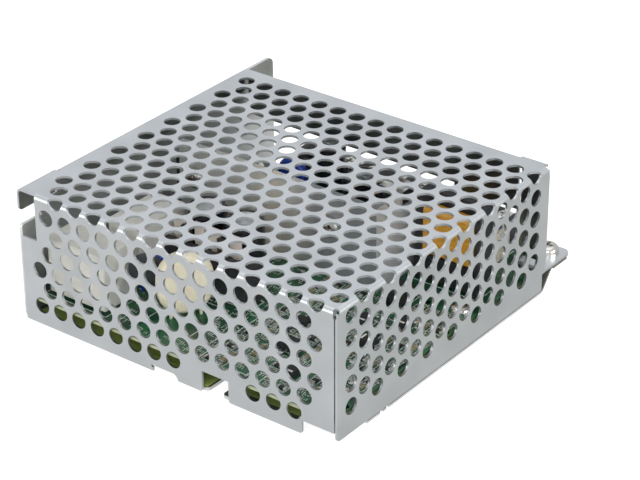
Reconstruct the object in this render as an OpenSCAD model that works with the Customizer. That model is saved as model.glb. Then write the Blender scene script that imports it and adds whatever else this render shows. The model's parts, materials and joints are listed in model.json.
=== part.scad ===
// Enclosed switching power supply module with a perforated sheet-metal cover.
// Frame: X to the right along the perforated front, Y towards the terminal
// end, Z up. The origin is under the middle of the case, on the mounting plane.
// All sizes are in millimetres.

/* [Case] */
// Overall width of the case, along X
case_w = 97; // [96:0.5:98]
// Overall length of the case, along Y
case_l = 99; // [98.5:0.5:100]
// Overall height of the case, along Z
case_h = 36; // [35.5:0.5:37]
// Thickness of the sheet of the cover
cover_t = 0.6; // [0.5:0.05:0.8]
// Thickness of the sheet of the chassis
base_t = 0.9; // [0.7:0.05:1]
// Outer radius of the folds of the cover
bend_r = 1.2; // [1.1:0.05:1.4]

/* [Perforation] */
// Distance between hole centres in one row
hole_pitch = 6; // [5.9:0.02:6.02]
// Distance between neighbouring rows, which are staggered by half a pitch
row_pitch = 5.03; // [4.95:0.01:5.06]
// Diameter of the ventilation holes
hole_d = 4.34; // [3.6:0.02:4.6]

/* [Terminal end] */
// Depth of the top flange that closes the upper part of the terminal end
flange_h = 13.1; // [12:0.1:15]
// Number of terminals in the terminal block
ways = 8; // [7:1:8]
// Distance between neighbouring terminals
way_pitch = 8.25; // [8:0.05:8.25]

/* [Circuit board] */
// Height of the upper side of the circuit board above the mounting plane
board_top = 7.4; // [7.2:0.1:7.6]
// Thickness of the circuit board
board_t = 1.6; // [1.2:0.1:1.6]

/* [Mounting] */
// Distance between the threaded holes of the base, along X
mount_x = 74; // [60:1:76]
// Distance between the threaded holes of the base, along Y
mount_y = 55; // [40:1:58]
// Diameter of the threaded holes of the base
mount_d = 3; // [2.5:0.1:3]
// Width of the open slot in the front edge of the base
slot_w = 4.2; // [4:0.1:4.6]

/* [Hidden] */
$fn = 48;
e = 0.01;

// Outer planes of the case
xl = -case_w / 2;
xr = case_w / 2;
yf = -case_l / 2;
yb = case_l / 2;
zt = case_h;
t = cover_t;
bt = base_t;
ro = bend_r;
// Fold of the first lip, and the place of the longer lips inside the wall
lip_r = 1.5;
lip_in = bt + 0.05;
hr = hole_d / 2;
// Outer plane of the terminal end of the cover
yc = yf + 87.5;
// First hole of the first row, and the plane of the flat rows
hx0 = xr - 0.36 - 15 * hole_pitch;
hy0 = yf + 0.17 + 16 * row_pitch;
function hx(i) = hx0 + hole_pitch * i;
function hy(r) = hy0 - row_pitch * r;
// Heights of the rows of the front wall and of the right wall
function fz(r) = zt - 5.28 - row_pitch * (r - 17);
function rz(i) = zt - 3.05 - hole_pitch * (i - 15.5);
// Left edge of the front wall and of its corner notch
fxl = xl + 1.1;
notch_x = xl + 6.2;
notch_z = 23.4;
// Right edge of the front wall, and the lower edge of the right wall
fxr = xr - t - 0.35;
rwz = 1.75;
// Ear of the cover at the right end of the terminal side
ear_z = 6.4;
ear_x = xr - 8.2;
ear_in_y = yf + 85.2;
scr_x = xr - 4.7;
scr_y = yb - 4.3;
// Board
bz = board_top;
bb = board_top - board_t;
bx0 = xl + 2.2;
bx1 = xr - 1.1;
by0 = yf + 0.9;
by1 = yb - 0.7;
base_x1 = xr - 0.8;
stand = [[xl + 5, yf + 17.5], [xr - 5.6, yf + 9], [xl + 5, yf + 85.5], [xr - 5.1, yf + 56.5]];
// Terminal block
tb_w = ways * way_pitch;
tb_x0 = xl + 18.4;
tb_y0 = yb - 12.1;
tb_y1 = yb - 0.2;
tb_z = 12;
tb_top = 16.6;
// Mounting slot in the front edge of the base
slot_x = 12;
slot_end = yf + 8.5;
// Heat sink: a long plate along X with a short leg towards the terminals
hs_y = 1.8;
hs_x0 = -40.6;
hs_x1 = 21.8;
hs_t = 1.5;
hs_top = 30.8;
// Screws of the heat sink
hs_sx = 8.2;
hs_sz = 21.9;
hs_s2 = -34.8;
// Transformer: ends of the core, ends of the winding, front and back
tr_x0 = 24.2;
tr_x1 = 43;
tw_x0 = 26.9;
tw_x1 = 41.55;
tr_y0 = 14.2;
tr_y1 = 21.2;
// Trimmer
trim_x = 34.6;
trim_y = 33.6;

// Quarter of a tube along +Z, from +X to +Y: one fold of the sheet
module fold(len, r = ro, th = t) {
    rotate_extrude(angle = 90) translate([r - th, 0]) square([th, len]);
}
module box(a, b) {
    translate(a) cube([b[0] - a[0], b[1] - a[1], b[2] - a[2]]);
}
module round_off(p, sx, sy, r) {
    // What is taken away to round the outer corner p of a sheet; sx and sy
    // point from the corner into the sheet
    translate(p) difference() {
        translate([sx > 0 ? -0.2 : -r, sy > 0 ? -0.2 : -r]) square(r + 0.2);
        translate([sx * r, sy * r]) circle(r = r, $fn = 24);
    }
}
module pan_screw(head_r, head_h, shank_r, shank_l) {
    // Pan head above z = 0 with a cross recess, shank below
    difference() {
        rotate_extrude() polygon(concat([[0, 0], [head_r, 0], [head_r, head_h * 0.35]],
            [for (a = [10 : 10 : 90]) [head_r * (0.45 + 0.55 * cos(a)), head_h * (0.35 + 0.65 * sin(a))]],
            [[0, head_h]]));
        for (q = [0, 90]) rotate([0, 0, q])
            translate([-head_r * 0.5, -head_r * 0.12, head_h * 0.45]) cube([head_r, head_r * 0.24, head_h]);
    }
    translate([0, 0, -shank_l]) cylinder(r = shank_r, h = shank_l + e);
}

// ---------------------------------------------------------------- cover
module top_rows() {
    for (r = [0 : 15]) for (i = [0 : 14])
        translate([hx(i + (r % 2) / 2), hy(r)]) circle(r = hr, $fn = 32);
}
module front_hole_row(r, list) {
    for (i = list) translate([hx(i), fz(r)]) circle(r = hr, $fn = 32);
}
module front_outline() {
    // Front wall in X and Z, up to the start of the fold
    difference() {
        translate([fxl, 0.15]) square([fxr - fxl, zt - ro - 0.15]);
        // corner notch at the upper left
        translate([fxl - 1, notch_z]) square([notch_x - fxl + 1, zt]);
        // shallow step in the lower edge
        polygon([[-6.4, -1], [-6.4, 1.75], [0, 1.75], [0.5, 1.55], [0.85, 1.25], [1.2, 0.75], [1.4, 0.1], [1.4, -1]]);
        translate([-6.4, 1.6]) circle(r = 0.5);
        // window in front of the mounting slot
        translate([8.85, -1]) square([8, 6.85]);
        round_off([8.85, 0.15], -1, 1, 0.7);
        round_off([16.85, 0.15], 1, 1, 0.6);
        // step beside the seam with the right wall
        translate([38.4, -1]) square([20, 4.75]);
        round_off([38.4, 0.15], -1, 1, 0.7);
        // ventilation holes
        front_hole_row(17, [for (i = [0 : 13]) i + 0.5]);
        front_hole_row(18, [for (i = [1 : 14]) i]);
        front_hole_row(19, [for (i = [0 : 13]) i + 0.5]);
        front_hole_row(20, [for (i = [0 : 14]) i]);
        front_hole_row(21, [for (i = [0 : 13]) i + 0.5]);
        front_hole_row(22, concat([for (i = [0 : 7]) i], [for (i = [11 : 13]) i]));
    }
}
module right_outline() {
    // Right wall in Y and Z, up to the start of the fold
    difference() {
        translate([yf, rwz]) square([yc - ro - yf, zt - ro - rwz]);
        round_off([yf, rwz], 1, 1, 1);
        // lower corner cut back beside the ear
        translate([ear_in_y, 0]) square([20, ear_z + e]);
        for (r = [0 : 15], k = [0 : (r % 2 == 0) ? 3 : 4])
            translate([hy(r), rz(k + ((r % 2 == 0) ? 16 : 15.5))]) circle(r = hr, $fn = 32);
    }
}
module perforated_cover() {
    color([0.76, 0.78, 0.81]) difference() {
        union() {
            // top
            translate([0, 0, zt - t]) linear_extrude(t) difference() {
                union() {
                    translate([xl + lip_in + ro, yf + ro]) square([xr - xl - lip_in - 2 * ro, yc - yf - 2 * ro]);
                    // strip over the first lip, and the free front edge of the notch
                    translate([xl + lip_r, yf + 0.5]) square([notch_x - xl - lip_r, 12.5]);
                    // plain rear edge beside the flange
                    translate([39.8, yc - ro - 1]) square([xr - ro - 39.8, ro + 1]);
                }
                top_rows();
            }
            // fold and front wall
            translate([fxr, yf + ro, zt - ro]) rotate([90, 0, -90]) fold(fxr - notch_x);
            translate([0, yf + t, 0]) rotate([90, 0, 0]) linear_extrude(t) front_outline();
            // fold and right wall
            translate([xr - ro, yc - 0.8, zt - ro]) rotate([90, 0, 0]) fold(yc - 0.8 - yf);
            translate([xr - t, 0, 0]) rotate([90, 0, 90]) linear_extrude(t) right_outline();
            // first lip of the left edge, in the outer plane
            translate([xl + lip_r, yf + 13, zt - lip_r]) mirror([1, 0, 0]) rotate([90, 0, 0]) fold(12.5, lip_r);
            translate([xl, 0, 0]) rotate([90, 0, 90]) linear_extrude(t) difference() {
                translate([yf + 0.5, zt - 6.2]) square([12.5, 6.2 - lip_r]);
                round_off([yf + 0.5, zt - 6.2], 1, 1, 1);
            }
            // longer lips, inside the wall of the chassis
            for (s = [[13.9, 37.6], [38.6, 85.8]]) {
                translate([xl + lip_in + ro, yf + s[1], zt - ro]) mirror([1, 0, 0]) rotate([90, 0, 0]) fold(s[1] - s[0]);
                box([xl + lip_in, yf + s[0], zt - 6.2], [xl + lip_in + t, yf + s[1], zt - ro]);
            }
            // flange of the terminal end, hanging from the top
            translate([xl + 2.1, yc - ro, zt - ro]) rotate([90, 0, 90]) fold(39.4 - xl - 2.1);
            box([xl + 2.1, yc - t, zt - flange_h], [39.4, yc, zt - ro]);
            // deeper part of the flange beside the ear
            box([20.3, yc - t, zt - flange_h - 1.7], [39.4, yc, zt - ro]);
            // narrow flange folded in from the right wall
            translate([xr - ro, yc - ro, ear_z + 2.4]) fold(zt - ro - 0.2 - ear_z - 2.4);
            box([40.25, yc - t, ear_z + 2.4], [xr - ro, yc, zt - ro - 0.2]);
            // ear that is screwed to the chassis
            translate([0, 0, ear_z]) linear_extrude(t) difference() {
                union() {
                    translate([ear_x, ear_in_y]) square([xr - 0.1 - ear_x, yb - 2 - ear_in_y]);
                    translate([ear_x, yb - 3]) square([xr - 2.1 - ear_x, 3]);
                    translate([xr - 2.1, yb - 2]) circle(r = 2);
                }
                translate([scr_x, scr_y]) circle(r = 1.6);
            }
        }
        // holes across the front fold and across the right fold
        for (i = [1 : 14]) {
            translate([hx(i), yf + 0.17, zt - 0.85]) cylinder(r = hr, h = 2, $fn = 32);
            translate([hx(i), yf + 1, zt - 0.1]) rotate([90, 0, 0]) cylinder(r = hr, h = 2, $fn = 32);
        }
        for (r = [0 : 2 : 14]) {
            translate([hx(15), hy(r), zt - 0.85]) cylinder(r = hr, h = 2, $fn = 32);
            translate([xr - 1, hy(r), zt - 0.1]) rotate([0, 90, 0]) cylinder(r = hr, h = 2, $fn = 32);
        }
        // relief at the corner where the two folds meet
        translate([xr - 0.75, yf + 0.6, zt - 2.2]) cylinder(r = 0.75, h = 4, $fn = 24);
        box([fxr, yf - 1, zt - 2], [xr - t, yf + 1.2, zt + 1]);
        // relief at the rear corner
        translate([xr - 0.8, yc - 0.75, zt - 2.2]) cylinder(r = 0.8, h = 4, $fn = 24);
    }
}

// -------------------------------------------------------------- chassis
function step(u) = u < 0 ? 0 : u > 1 ? 1 : u * u * (3 - 2 * u);
module ear_profile() {
    // Raised strip in Y and Z: from the base plate up to the ear
    y0 = yf + 85.9;
    y1 = yf + 91.9;
    n = 16;
    low = [for (k = [0 : n]) [y0 + (y1 - y0) * k / n, (ear_z - bt) * step(k / n)]];
    high = [for (k = [n : -1 : 0]) [y0 + (y1 - y0) * k / n, bt + (ear_z - bt) * step(k / n)]];
    polygon(concat([[y0 - 1, 0]], low, [[yb - 0.4, ear_z - bt], [yb - 0.4, ear_z]], high, [[y0 - 1, bt]]));
}
module chassis() {
    color([0.72, 0.74, 0.76]) difference() {
        union() {
            // base plate
            linear_extrude(bt) difference() {
                union() {
                    translate([xl + ro, yf + 1]) square([base_x1 - xl - ro - 1.6, yb - yf - 1]);
                    translate([base_x1 - 4, yf + 12.6]) square([4, yb - yf - 12.6]);
                }
                // open mounting slot in the front edge
                translate([slot_x - slot_w / 2, yf - 1]) square([slot_w, slot_end - yf + 1]);
                translate([slot_x, slot_end]) circle(d = slot_w);
                round_off([slot_x - slot_w / 2, yf + 1], -1, 1, 1);
                round_off([slot_x + slot_w / 2, yf + 1], 1, 1, 1);
                // recesses behind the two steps of the front wall
                translate([-9.6, yf - 1]) square([11.4, 5.6]);
                translate([34.4, yf - 1]) square([20, 6.6]);
                // reliefs in the right edge
                translate([base_x1 - 0.7, yf + 17.6]) square([2, 1.2]);
                translate([base_x1 - 0.7, yf + 20]) square([2, 1.2]);
                // corner that is drawn up as the ear
                translate([ear_x - 0.6, yf + 85.9]) square([20, 30]);
                // threaded holes
                for (sx = [-1, 1], sy = [-1, 1]) translate([sx * mount_x / 2, sy * mount_y / 2]) circle(d = mount_d);
            }
            // raised ear
            translate([ear_x, 0, 0]) rotate([90, 0, 90]) linear_extrude(base_x1 - ear_x) ear_profile();
            box([base_x1 - bt, yf + 91.9, ear_z - bt - 0.7], [base_x1, yb - 0.9, ear_z - bt]);
            // fold and left wall
            translate([xl + ro, yb, ro]) rotate([0, 180, 0]) rotate([90, 0, 0]) fold(yb - yf - 0.7, ro, bt);
            translate([xl, 0, 0]) rotate([90, 0, 90]) linear_extrude(bt) difference() {
                union() {
                    translate([yf + 0.6, ro]) square([yb - yf - 0.6, 25.15 - ro]);
                    translate([yf + 1.3, 20]) square([yb - yf - 1.3, 5.85]);
                    translate([yf + 1.3, 25.15]) circle(r = 0.7);
                    translate([yf + 7.5, 20]) square([yb - yf - 7.5, 9.5]);
                    translate([yf + 13.4, 20]) square([yb - yf - 13.4 - 2, zt - 1.2 - 20]);
                    translate([yf + 40, 20]) square([yb - yf - 40, zt - 3.2 - 20]);
                    translate([yb - 2, zt - 3.2]) circle(r = 2);
                }
            }
            // drawn collars around the threaded holes
            for (sx = [-1, 1], sy = [-1, 1]) translate([sx * mount_x / 2, sy * mount_y / 2, 0]) difference() {
                cylinder(d = mount_d + 1.4, h = 2.4);
                translate([0, 0, -1]) cylinder(d = mount_d, h = 5);
            }
        }
        // threaded hole of the ear
        translate([scr_x, scr_y, 0]) cylinder(r = 1.55, h = 10);
    }
}

module insulation_sheet() {
    color([0.45, 0.5, 0.2]) translate([0, 0, bt + 0.02]) linear_extrude(0.3) difference() {
        translate([bx0 + 0.5, yf + 1.4]) square([bx1 - bx0 - 3.8, by1 - yf - 3.1]);
        translate([17, yf - 1]) square([40, 5.6]);
        translate([ear_x - 3, yf + 83]) square([30, 30]);
        // around the mounting slot and behind the recesses of the base
        translate([slot_x - 2.7, yf - 1]) square([5.4, 13]);
        translate([slot_x - 1, yf - 1]) square([7, 5]);
        translate([-10.2, yf - 1]) square([12.6, 6.2]);
        translate([34, yf - 1]) square([20, 8]);
        for (sx = [-1, 1], sy = [-1, 1]) translate([sx * mount_x / 2, sy * mount_y / 2]) circle(r = 3);
        // clear of the standoffs, out to the edge of the sheet
        for (p = stand) {
            sx = p[0] < 0 ? -1 : 1;
            sy = p[1] < -39 ? -1 : p[1] > 20 ? 1 : 0;
            translate([p[0] - 3.5 + (sx < 0 ? -6 : 0), p[1] - 3.5 + (sy < 0 ? -6 : 0)])
                square([13, sy == 0 ? 7 : 13]);
        }
    }
}

// -------------------------------------------------------- circuit board
module circuit_board() {
    color([0.09, 0.3, 0.2]) translate([0, 0, bb]) linear_extrude(board_t) difference() {
        translate([bx0, by0]) square([bx1 - bx0, by1 - by0]);
        translate([ear_x - 0.8, yf + 84]) square([30, 30]);
        // corner cut back beside the terminal block
        translate([xl, yf + 90.5]) square([10, 20]);
        for (p = stand) translate(p) circle(r = 1.6);
    }
}
module board_standoffs() {
    color([0.75, 0.75, 0.72]) for (p = stand) translate([p[0], p[1], bt]) difference() {
        cylinder(r = 2.9, h = bb - bt, $fn = 6);
        translate([0, 0, -1]) cylinder(r = 1.5, h = 20);
    }
}
module board_screws() {
    color([0.78, 0.78, 0.76]) for (p = stand) translate([p[0], p[1], bz]) pan_screw(2.5, 1.9, 1.45, 5);
}
module cover_screw() {
    color([0.85, 0.84, 0.82]) translate([scr_x, scr_y, ear_z + t]) pan_screw(3.1, 2.3, 1.5, 3.4);
}

// ------------------------------------------------------- terminal block
function way_x(k) = tb_x0 + way_pitch * (k + 0.5);
module terminal_block() {
    color([0.06, 0.06, 0.065]) difference() {
        union() {
            box([tb_x0 - 0.6, tb_y0, bz], [tb_x0 + tb_w + 0.6, tb_y1, tb_z]);
            box([tb_x0 - 0.6, tb_y0, tb_z - e], [tb_x0 + tb_w + 0.6, tb_y0 + 1.3, tb_top - 2]);
            // barriers between the terminals, lower towards the open end
            for (k = [0 : ways]) translate([tb_x0 + way_pitch * k - 0.6, 0, 0]) rotate([90, 0, 90]) linear_extrude(1.2)
                polygon([[tb_y0, bz], [tb_y1, bz], [tb_y1, tb_z + 1], [tb_y0 + 5.5, tb_top], [tb_y0, tb_top]]);
        }
        for (k = [0 : ways - 1]) translate([way_x(k), tb_y0 + 6.4, tb_z - 4]) cylinder(r = 1.8, h = 6);
    }
}
module terminal_plates() {
    color([0.8, 0.77, 0.66]) for (k = [0 : ways - 1]) difference() {
        translate([way_x(k) - 3.1, tb_y0 + 2, tb_z]) cube([6.2, 8.8, 0.8]);
        translate([way_x(k), tb_y0 + 6.4, tb_z - 1]) cylinder(r = 1.75, h = 4);
    }
}
module terminal_screws() {
    color([0.83, 0.82, 0.8]) for (k = [0 : ways - 1])
        translate([way_x(k), tb_y0 + 6.4, tb_z + 0.8]) pan_screw(2.9, 2, 1.6, 3.6);
}

// ---------------------------------------------------------- transformer
module transformer_core() {
    // Closed frame: one leg through the winding, one leg behind it and a yoke at each end
    color([0.13, 0.13, 0.14]) union() {
        box([tr_x0, tr_y0 + 0.6, 13.4], [tw_x0 - 0.1, tr_y1, 30.8]);
        box([tw_x1 + 0.1, tr_y0 + 0.6, 13.4], [tr_x1, tr_y1, 30.8]);
        box([tw_x0 - 1, tr_y1 - 2.9, 13.4], [tw_x1 + 0.6, tr_y1, 30.8]);
        box([tw_x0 - 1, tr_y0 + 1.1, 17.8], [tw_x1 + 0.6, tr_y0 + 2.8, 25.6]);
    }
}
module transformer_winding() {
    // Taped winding around the front leg
    color([0.86, 0.62, 0.2]) translate([tw_x0, 0, 0]) rotate([90, 0, 90]) linear_extrude(tw_x1 - tw_x0) difference() {
        union() {
            translate([tr_y0, 16]) square([3.95, 10.9]);
            translate([tr_y0 + 1, 15]) square([1.95, 12.9]);
            for (y = [tr_y0 + 1, tr_y0 + 2.95], z = [16, 26.9]) translate([y, z]) circle(r = 1, $fn = 24);
        }
        translate([tr_y0 + 1, 17.7]) square([1.9, 8]);
    }
}
module transformer_bobbin() {
    color([0.09, 0.09, 0.09]) {
        box([tr_x0, tr_y0, bz + 0.6], [tr_x1, tr_y1, 13.35]);
        box([tw_x0 + 0.1, tr_y0 + 0.2, 13.3], [tw_x1 - 0.05, tr_y0 + 3.9, 14.95]);
    }
}
module transformer_pins() {
    color([0.8, 0.8, 0.78]) for (y = [tr_y0 + 1.2, tr_y1 - 1.2], k = [-2 : 2])
        translate([(tr_x0 + tr_x1) / 2 + k * 3.8, y, bz]) cylinder(r = 0.35, h = 0.6, $fn = 16);
}

// ----------------------------------------------- capacitors and filters
module can(r, h, groove = true) {
    // Electrolytic capacitor with a rolled groove near its foot and a scored top
    difference() {
        rotate_extrude() polygon([[0, 0], [r - 0.4, 0], [r, 0.4], [r, 2.4], [r - 0.5, 2.9], [r - 0.5, 3.3],
            [r, 3.8], [r, h - 0.9], [r - 0.9, h], [r - 1.5, h], [r - 1.5, h - 0.35], [0, h - 0.35]]);
        if (groove) for (q = [0, 90]) rotate([0, 0, q])
            translate([-r * 0.6, -0.2, h - 0.6]) cube([r * 1.2, 0.4, 1]);
    }
}
module bulk_capacitors() {
    color([0.07, 0.07, 0.09]) for (x = [-19.6, -7.9]) translate([x, -12.2, bz]) can(5, 17.6);
}
module output_capacitors() {
    color([0.08, 0.08, 0.09]) for (p = [[-15, 32.2, 4, 18], [-2.5, 28.5, 5, 14.4], [8.6, 27.2, 5, 14.4]])
        translate([p[0], p[1], bz]) can(p[2], p[3]);
}
module film_box(w, d, h) {
    // Moulded box with small feet and rounded upright edges
    translate([0, 0, 0.8]) linear_extrude(h - 0.8) union() {
        translate([0.6, 0]) square([w - 1.2, d]);
        translate([0, 0.6]) square([w, d - 1.2]);
        for (x = [0.6, w - 0.6], y = [0.6, d - 0.6]) translate([x, y]) circle(r = 0.6, $fn = 24);
    }
    for (x = [1, w - 2.5], y = [1, d - 2.5]) translate([x, y, 0]) cube([1.5, 1.5, 0.9]);
}
module line_filter_capacitors() {
    color([0.8, 0.8, 0.79]) {
        translate([-42.6, -45.9, bz]) film_box(18.3, 9.4, 15.7);
        translate([-36.4, -30.6, bz]) film_box(10.3, 17.7, 16.1);
    }
}
module cream_film_capacitor() {
    // Dipped oval body, standing askew on two leads
    color([0.87, 0.83, 0.72]) translate([-7.3, -35.3, 17]) rotate([0, 0, 55]) {
        translate([0, 4, 0]) rotate([90, 0, 0]) linear_extrude(5) union() {
            for (z = [-1, 1]) translate([0, z]) circle(r = 7.2);
            translate([-7.2, -1]) square([14.4, 2]);
        }
        for (s = [-1, 1]) translate([s * 3.75, 1.5, bz - 17]) cylinder(r = 0.35, h = 5, $fn = 16);
    }
}
module disc_cap(r, th, z) {
    // Coated disc, standing on edge on two leads, rounded like a lens at the rim
    translate([0, 0, z - bz]) rotate([90, 0, 0]) rotate_extrude() polygon(concat([[0, -th / 2]],
        [for (a = [-90 : 36 : 90]) [r - 1.2 + 1.2 * cos(a), th / 2 * sin(a)]], [[0, th / 2]]));
    for (s = [-1, 1]) translate([s * 2.5, 0, 0]) cylinder(r = 0.35, h = z - bz - r / 2, $fn = 16);
}
module blue_disc_capacitors() {
    color([0.08, 0.22, 0.62]) {
        translate([-20.6, -32.4, bz]) rotate([0, 0, 40]) disc_cap(4.9, 2.6, 14.9);
        translate([-21.9, 25, bz]) disc_cap(4.4, 3.4, 17.6);
    }
}
module choke_core() {
    // Front leg along X and a short leg back beside the last finger
    color([0.1, 0.1, 0.1]) union() {
        box([-25.8, -22.8, bz + 0.65], [1.8, -20.2, 18]);
        box([-1.6, -20.3, bz + 0.65], [1.8, -17.5, 18]);
    }
}
module choke_windings() {
    // Two flat coils between the core and the fingers
    color([0.5, 0.27, 0.14]) for (x = [-22.2, -10.7]) translate([x, -18.75, 0]) rotate([90, 0, 0]) linear_extrude(1.3) union() {
        translate([0, 11]) square([3.3, 10.6]);
        translate([0.5, 10.5]) square([2.3, 11.6]);
    }
}
module choke_base() {
    color([0.1, 0.1, 0.1]) {
        box([-25.8, -22.8, bz], [1.8, -18.7, bz + 0.6]);
        for (x = [-22.2, -10.7]) box([x + 1, -20.05, bz + 0.6 - e], [x + 2.3, -18.75, 10.45]);
    }
}
module finger_strip() {
    // Low strip on the board with four upright fingers, in front of the bulk capacitors
    color([0.8, 0.75, 0.7]) translate([0, -17.8, 0]) rotate([90, 0, 0]) linear_extrude(0.7) union() {
        translate([-25.6, bz]) square([21.6, 2]);
        for (f = [[-25.4, 3], [-18.7, 3.1], [-14.3, 3.4], [-7.7, 3.4]]) {
            translate([f[0], 17]) square([f[1], 6]);
            translate([f[0] + f[1] / 2 - 0.6, bz + 1]) square([1.2, 17 - bz]);
        }
    }
}
module heat_sink() {
    color([0.68, 0.69, 0.69]) difference() {
        union() {
            box([hs_x0, hs_y, bz], [hs_x1, hs_y + hs_t, hs_top]);
            box([hs_x1 - hs_t, hs_y + hs_t - e, bz], [hs_x1, hs_y + 18.9, hs_top]);
        }
        for (x = [hs_sx, hs_s2]) translate([x, hs_y - 1, hs_sz]) rotate([-90, 0, 0]) cylinder(r = 1.6, h = 5);
    }
}
module heat_sink_screw() {
    color([0.82, 0.8, 0.76]) for (x = [hs_sx, hs_s2]) translate([x, hs_y, hs_sz]) rotate([90, 0, 0]) pan_screw(2.8, 2.1, 1.5, 3);
}
module tab_package(w, h, th) {
    // Flat power package with three leads, its plastic body against the plate
    cube([w, th, h]);
    for (k = [-1 : 1]) translate([w / 2 + k * 2.54 - 0.4, 1.4, -3.4]) cube([0.8, 0.6, 3.5]);
}
module power_transistor() {
    color([0.09, 0.09, 0.1]) difference() {
        translate([hs_sx - 5.1, hs_y + hs_t, bz + 3.4]) tab_package(10.2, 15.4, 4.4);
        translate([hs_sx, hs_y, hs_sz]) rotate([-90, 0, 0]) cylinder(r = 1.6, h = 20);
    }
}
module output_rectifier() {
    color([0.09, 0.09, 0.1]) translate([hs_x1 - hs_t, 9.6, bz + 3.4]) rotate([0, 0, 90]) tab_package(10.2, 15.4, 4.4);
}
module rectifier_clip() {
    // Spring clip that presses the rectifier against the plate
    cx = hs_x1 - hs_t - 4.4;
    color([0.7, 0.71, 0.72]) translate([0, 17.7, 0]) rotate([90, 0, 0]) linear_extrude(6)
        polygon([[cx - 0.6, 16], [cx, 16], [cx, hs_top], [hs_x1, hs_top], [hs_x1, hs_top - 3],
            [hs_x1 + 0.6, hs_top - 3], [hs_x1 + 0.6, hs_top + 0.6], [cx - 0.6, hs_top + 0.6]]);
}
module bridge_rectifier() {
    // Flat block behind the heat sink, held by its second screw
    color([0.08, 0.08, 0.08]) difference() {
        union() {
            box([hs_s2 - 8.2, hs_y + hs_t, bz + 3], [hs_s2 + 8.2, hs_y + hs_t + 3.6, bz + 18]);
            for (k = [-1.5 : 1 : 1.5]) box([hs_s2 + 4 * k - 0.4, hs_y + hs_t + 1.4, bz], [hs_s2 + 4 * k + 0.4, hs_y + hs_t + 2.2, bz + 3.1]);
        }
        translate([hs_s2, hs_y, hs_sz]) rotate([-90, 0, 0]) cylinder(r = 1.6, h = 20);
    }
}
module fuse_tube() {
    color([0.85, 0.88, 0.86]) translate([-42, 21, bz + 3]) rotate([-90, 0, 0]) translate([0, 0, -8]) difference() {
        cylinder(r = 2.4, h = 13);
        translate([0, 0, -1]) cylinder(r = 1.7, h = 15);
    }
}
module fuse_caps() {
    color([0.8, 0.8, 0.76]) for (s = [0, 1]) translate([-42, s ? 26 : 9.5 + 1, bz + 3]) {
        rotate([-90, 0, 0]) cylinder(r = 2.6, h = 2.5);
        translate([-0.4, 0.8, -3]) cube([0.8, 0.8, 1.2]);
    }
}
module inrush_thermistor() {
    color([0.12, 0.2, 0.14]) translate([-19.9, -35.5, bz]) rotate([0, 0, 40]) disc_cap(4.3, 2.6, 17);
}
module output_inductor_core() {
    color([0.85, 0.75, 0.2]) translate([22, 30, bz + 6.4]) rotate([0, 90, 0]) translate([0, 0, -3])
        rotate_extrude() translate([2.83, 0.03]) square([2.54, 5.94]);
}
module output_inductor_winding() {
    color([0.7, 0.38, 0.18]) translate([22, 30, bz + 6.4]) rotate([0, 90, 0]) rotate([0, 0, -120])
        rotate_extrude(angle = 240) difference() {
            translate([1.8, -4]) square([4.6, 8]);
            translate([2.8, -3]) square([2.6, 6]);
        }
}

// ------------------------------------------------- small board components
module control_chip() {
    color([0.07, 0.07, 0.075]) translate([20.4, -30.6, bz + 0.2]) difference() {
        translate([-2.5, -2, 0]) cube([5, 4, 1.5]);
        translate([-1.8, -1.3, 1.4]) cylinder(r = 0.35, h = 1, $fn = 16);
    }
}
module chip_pins() {
    color([0.8, 0.8, 0.8]) for (s = [-1, 1], k = [0 : 3])
        translate([20.4 - 1.9 + k * 1.27 - 0.2, -30.6 + (s < 0 ? -3.1 : 2), bz]) cube([0.4, 1.1, 0.6]);
}
// Small chip parts fill the front right of the board, one to a cell; larger
// parts keep their places free
keep_free = [[16, -35.4, 24.8, -26], [6, -0.2, 23.4, 8], [38.6, -45, 47, -36.2], [24.8, -2.4, 32, 7.6], [39.4, 3, 48, 12], [14, -50, 22.5, -43.4],
    [30, -50, 48, -46], [30.5, -47, 38, -43.6]];
diode_at = [[16.4, -21.2, 0], [28.6, -40.2, 1], [28.2, -11.6, 1], [34.8, -19, 0], [36.6, -7, 1]];
function is_free(p) = len([for (k = keep_free) if (p[0] > k[0] && p[0] < k[2] && p[1] > k[1] && p[1] < k[3]) k]) == 0
    && len([for (d = diode_at) if (abs(p[0] - d[0]) < (d[2] ? 3 : 4.2) && abs(p[1] - d[1]) < (d[2] ? 4.2 : 3)) d]) == 0;
function kind(i, j) = (i * 7 + j * 5 + i * j * 3) % 10;
chip_cells = [for (i = [0 : 10], j = [0 : 14])
    let (p = [8.6 + 3.6 * i + 0.3 * ((i * 3 + j * 7) % 3 - 1), -45.6 + 3.45 * j + 0.3 * ((i * 5 + j * 2) % 3 - 1)])
    if (p[1] < 4 && p[0] < 45.4 && is_free(p)) [p[0], p[1], kind(i, j)]];
module chip_resistors() {
    color([0.1, 0.1, 0.1]) for (c = chip_cells) if (c[2] < 5)
        translate([c[0], c[1], bz + 0.25]) cube(c[2] % 2 == 0 ? [2, 1.25, 0.5] : [1.25, 2, 0.5], center = true);
}
module chip_capacitors() {
    color([0.72, 0.6, 0.42]) for (c = chip_cells) if (c[2] > 4 && c[2] < 8)
        translate([c[0], c[1], bz + 0.45]) cube(c[2] == 6 ? [2, 1.25, 0.9] : [1.25, 2, 0.9], center = true);
}
module chip_diodes() {
    // Black moulded bodies with a tab folded under each end
    color([0.07, 0.07, 0.075]) for (d = diode_at) translate([d[0], d[1], bz]) rotate([0, 0, d[2] * 90]) {
        box([-2.15, -1.35, 0.25], [2.15, 1.35, 2.2]);
        for (q = [-1, 1]) box([q * 2.0 - 0.45, -0.75, 0], [q * 2.0 + 0.45, 0.75, 0.5]);
    }
}
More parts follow.
